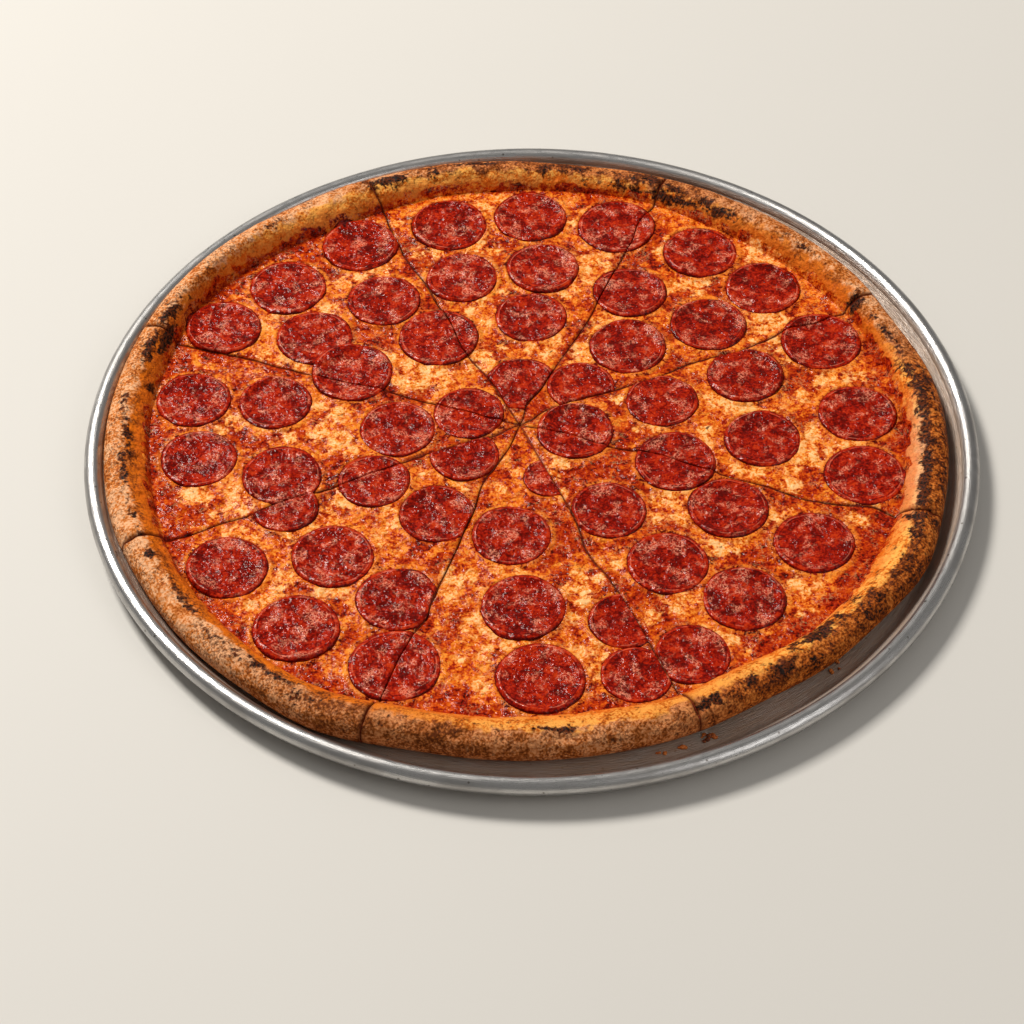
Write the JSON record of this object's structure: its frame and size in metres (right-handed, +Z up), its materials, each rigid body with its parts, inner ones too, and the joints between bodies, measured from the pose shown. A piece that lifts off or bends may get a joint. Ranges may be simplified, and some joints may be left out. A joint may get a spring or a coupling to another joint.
{
  "type": "sliced pepperoni pizza in a round pan",
  "caption": "Large round pepperoni pizza cut into wedge slices, with a raised browned crust, lying in its shallow round aluminium pan with a rolled rim.",
  "frame": {"origin": "centre of the pan's underside, on the surface that the pan stands on", "axes": "+Z up; +X to the right and +Y away from the viewer, as the picture shows the pizza"},
  "size_m": [0.457, 0.457, 0.0223],
  "materials": {
    "aluminium": "brushed, used",
    "baked_dough_and_cheese": "oily melted cheese over red sauce, and browned dough",
    "pepperoni": "oily cured sausage"
  },
  "bodies": {
    "root": {"pan": "aluminium", "pepperoni_01": "pepperoni", "pepperoni_02": "pepperoni", "pepperoni_03": "pepperoni", "pepperoni_04a": "pepperoni", "pepperoni_05": "pepperoni", "pepperoni_06": "pepperoni", "pepperoni_07a": "pepperoni", "pepperoni_08": "pepperoni", "pepperoni_09": "pepperoni", "pepperoni_10": "pepperoni", "pepperoni_11": "pepperoni", "pepperoni_12": "pepperoni", "pepperoni_13": "pepperoni", "pepperoni_14": "pepperoni", "pepperoni_15": "pepperoni", "pepperoni_16": "pepperoni", "pepperoni_17": "pepperoni", "pepperoni_18": "pepperoni", "pepperoni_19a": "pepperoni", "pepperoni_20a": "pepperoni", "pepperoni_22": "pepperoni", "pepperoni_23": "pepperoni", "pepperoni_24": "pepperoni", "pepperoni_25": "pepperoni", "pepperoni_26": "pepperoni", "pepperoni_27a": "pepperoni", "pepperoni_28": "pepperoni", "pepperoni_29": "pepperoni", "pepperoni_31": "pepperoni", "pepperoni_32": "pepperoni", "pepperoni_33": "pepperoni", "pepperoni_34": "pepperoni", "pepperoni_35a": "pepperoni", "pepperoni_35b": "pepperoni", "pepperoni_36": "pepperoni", "pepperoni_38": "pepperoni", "pepperoni_39": "pepperoni", "pepperoni_41": "pepperoni", "pepperoni_42": "pepperoni", "pepperoni_43": "pepperoni", "pepperoni_44": "pepperoni", "pepperoni_45": "pepperoni", "pepperoni_46": "pepperoni", "pepperoni_47": "pepperoni", "pepperoni_48a": "pepperoni", "pepperoni_50": "pepperoni", "pepperoni_51": "pepperoni", "pepperoni_52a": "pepperoni", "pepperoni_53": "pepperoni", "pepperoni_54": "pepperoni", "pepperoni_55": "pepperoni", "slice_1": "baked_dough_and_cheese", "slice_2": "baked_dough_and_cheese", "slice_3": "baked_dough_and_cheese", "slice_4": "baked_dough_and_cheese", "slice_5": "baked_dough_and_cheese", "slice_6": "baked_dough_and_cheese", "slice_7": "baked_dough_and_cheese", "slice_8": "baked_dough_and_cheese"}
  },
  "joints": []
}
